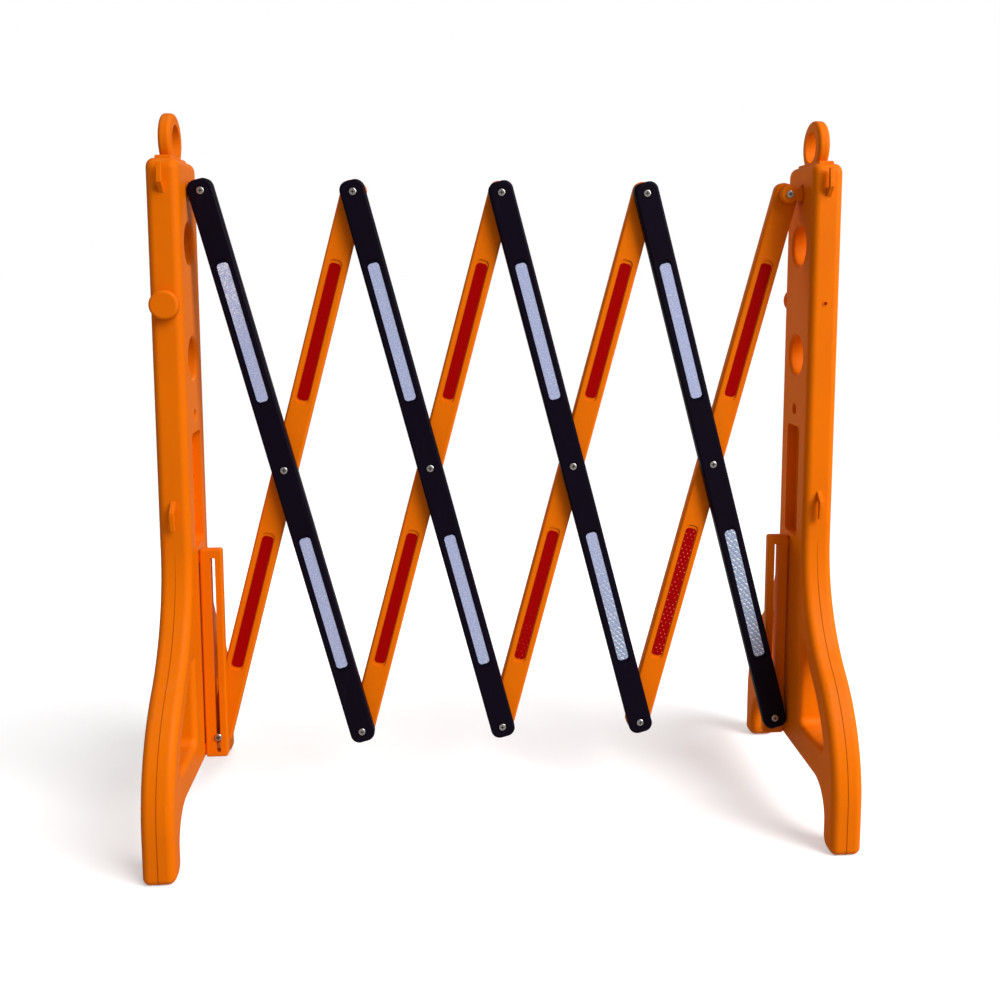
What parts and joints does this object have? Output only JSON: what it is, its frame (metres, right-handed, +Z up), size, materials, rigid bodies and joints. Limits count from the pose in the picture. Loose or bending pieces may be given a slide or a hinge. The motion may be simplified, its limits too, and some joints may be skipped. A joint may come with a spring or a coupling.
{
  "type": "expanding scissor barricade",
  "caption": "Expanding scissor barricade: hollow moulded end posts with wide feet, joined by crossed reflective slats that fold and spread on screw pivots.",
  "frame": {"origin": "on the floor, midway between the two end posts", "axes": "+Z up; X along the barricade; -Y is the side that carries the reflectors and the screw heads; modelled part open"},
  "size_m": [0.913, 0.406, 0.96],
  "materials": {
    "orange_plastic": "semi-matt moulded polyethylene",
    "black_plastic": "satin moulded plastic",
    "white_reflective": "prismatic reflective sheet, clear faced",
    "red_reflective": "prismatic reflective sheet, clear faced",
    "zinc_steel": "bright zinc plate",
    "gasket_rubber": "matt"
  },
  "bodies": {
    "left_post": {"left_post_shell": "orange_plastic", "left_top_eye": "orange_plastic", "left_hinge_bracket": "orange_plastic", "left_slide_track": "orange_plastic", "left_rope_hooks": "orange_plastic", "left_post_screws": "zinc_steel", "left_post_nuts": "zinc_steel", "left_post_washers": "zinc_steel"},
    "left_gasket": {"left_plug_gasket": "gasket_rubber"},
    "left_plug": {"left_filler_plug": "orange_plastic"},
    "right_post": {"right_post_shell": "orange_plastic", "right_top_eye": "orange_plastic", "right_hinge_bracket": "orange_plastic", "right_slide_track": "orange_plastic", "right_rope_hooks": "orange_plastic", "right_post_screws": "zinc_steel", "right_post_nuts": "zinc_steel", "right_post_washers": "zinc_steel"},
    "right_gasket": {"right_plug_gasket": "gasket_rubber"},
    "right_plug": {"right_filler_plug": "orange_plastic"},
    "black_slat_1": {"black_slat_1": "black_plastic", "black_slat_1_reflectors": "white_reflective", "black_slat_1_screws": "zinc_steel", "black_slat_1_nuts": "zinc_steel", "black_slat_1_washers": "zinc_steel"},
    "orange_slat_1": {"orange_slat_1": "orange_plastic", "orange_slat_1_reflectors": "red_reflective", "orange_slat_1_screws": "zinc_steel", "orange_slat_1_nuts": "zinc_steel", "orange_slat_1_washers": "zinc_steel"},
    "black_slat_2": {"black_slat_2": "black_plastic", "black_slat_2_reflectors": "white_reflective", "black_slat_2_screws": "zinc_steel", "black_slat_2_nuts": "zinc_steel", "black_slat_2_washers": "zinc_steel"},
    "orange_slat_2": {"orange_slat_2": "orange_plastic", "orange_slat_2_reflectors": "red_reflective"},
    "black_slat_3": {"black_slat_3": "black_plastic", "black_slat_3_reflectors": "white_reflective", "black_slat_3_screws": "zinc_steel", "black_slat_3_nuts": "zinc_steel", "black_slat_3_washers": "zinc_steel"},
    "orange_slat_3": {"orange_slat_3": "orange_plastic", "orange_slat_3_reflectors": "red_reflective"},
    "black_slat_4": {"black_slat_4": "black_plastic", "black_slat_4_reflectors": "white_reflective", "black_slat_4_screws": "zinc_steel", "black_slat_4_nuts": "zinc_steel", "black_slat_4_washers": "zinc_steel"},
    "orange_slat_4": {"orange_slat_4": "orange_plastic", "orange_slat_4_reflectors": "red_reflective"}
  },
  "joints": [
    {"name": "fold", "type": "hinge", "parent": "left_post", "child": "black_slat_1", "pos_m": [-0.39647, 0, 0.86], "axis": [0, -1, 0], "range_deg": [-7.3, 35.2]},
    {"name": "middle_pivot_1", "type": "hinge", "parent": "black_slat_1", "child": "orange_slat_1", "pos_m": [-0.29735, 0, 0.48485], "axis": [0, -1, 0], "range_deg": [-70.4, 14.6]},
    {"name": "top_pivot_1", "type": "hinge", "parent": "orange_slat_1", "child": "black_slat_2", "pos_m": [-0.19824, 0, 0.86], "axis": [0, -1, 0], "range_deg": [-14.6, 70.4]},
    {"name": "middle_pivot_2", "type": "hinge", "parent": "black_slat_2", "child": "orange_slat_2", "pos_m": [-0.09912, 0, 0.48485], "axis": [0, -1, 0], "range_deg": [-70.4, 14.6]},
    {"name": "top_pivot_2", "type": "hinge", "parent": "orange_slat_2", "child": "black_slat_3", "pos_m": [0, 0, 0.86], "axis": [0, -1, 0], "range_deg": [-14.6, 70.4]},
    {"name": "middle_pivot_3", "type": "hinge", "parent": "black_slat_3", "child": "orange_slat_3", "pos_m": [0.09912, 0, 0.48485], "axis": [0, -1, 0], "range_deg": [-70.4, 14.6]},
    {"name": "top_pivot_3", "type": "hinge", "parent": "orange_slat_3", "child": "black_slat_4", "pos_m": [0.19824, 0, 0.86], "axis": [0, -1, 0], "range_deg": [-14.6, 70.4]},
    {"name": "middle_pivot_4", "type": "hinge", "parent": "black_slat_4", "child": "orange_slat_4", "pos_m": [0.29735, 0, 0.48485], "axis": [0, -1, 0], "range_deg": [-70.4, 14.6]},
    {"name": "right_post_pivot", "type": "hinge", "parent": "orange_slat_4", "child": "right_post", "pos_m": [0.39647, 0, 0.86], "axis": [0, -1, 0], "range_deg": [-7.3, 35.2]},
    {"name": "left_plug_lift", "type": "slide", "parent": "left_post", "child": "left_gasket", "axis": [0, -1, 0], "range_m": [0, 0.012]},
    {"name": "left_plug_turn", "type": "hinge", "parent": "left_gasket", "child": "left_plug", "pos_m": [-0.43598, -0.0565, 0.712], "axis": [0, -1, 0], "range_deg": [0, 1440]},
    {"name": "right_plug_lift", "type": "slide", "parent": "right_post", "child": "right_gasket", "axis": [0, 1, 0], "range_m": [0, 0.012]},
    {"name": "right_plug_turn", "type": "hinge", "parent": "right_gasket", "child": "right_plug", "pos_m": [0.43598, 0.0565, 0.712], "axis": [0, 1, 0], "range_deg": [0, 1440]}
  ],
  "couplings": [
    {"joint": "middle_pivot_1", "follows": "fold", "ratio": -2},
    {"joint": "top_pivot_1", "follows": "fold", "ratio": 2},
    {"joint": "middle_pivot_2", "follows": "fold", "ratio": -2},
    {"joint": "top_pivot_2", "follows": "fold", "ratio": 2},
    {"joint": "middle_pivot_3", "follows": "fold", "ratio": -2},
    {"joint": "top_pivot_3", "follows": "fold", "ratio": 2},
    {"joint": "middle_pivot_4", "follows": "fold", "ratio": -2},
    {"joint": "right_post_pivot", "follows": "fold", "ratio": 1},
    {"joint": "left_plug_lift", "follows": "left_plug_turn", "m_per_rad": 0.00047746},
    {"joint": "right_plug_lift", "follows": "right_plug_turn", "m_per_rad": 0.00047746}
  ]
}
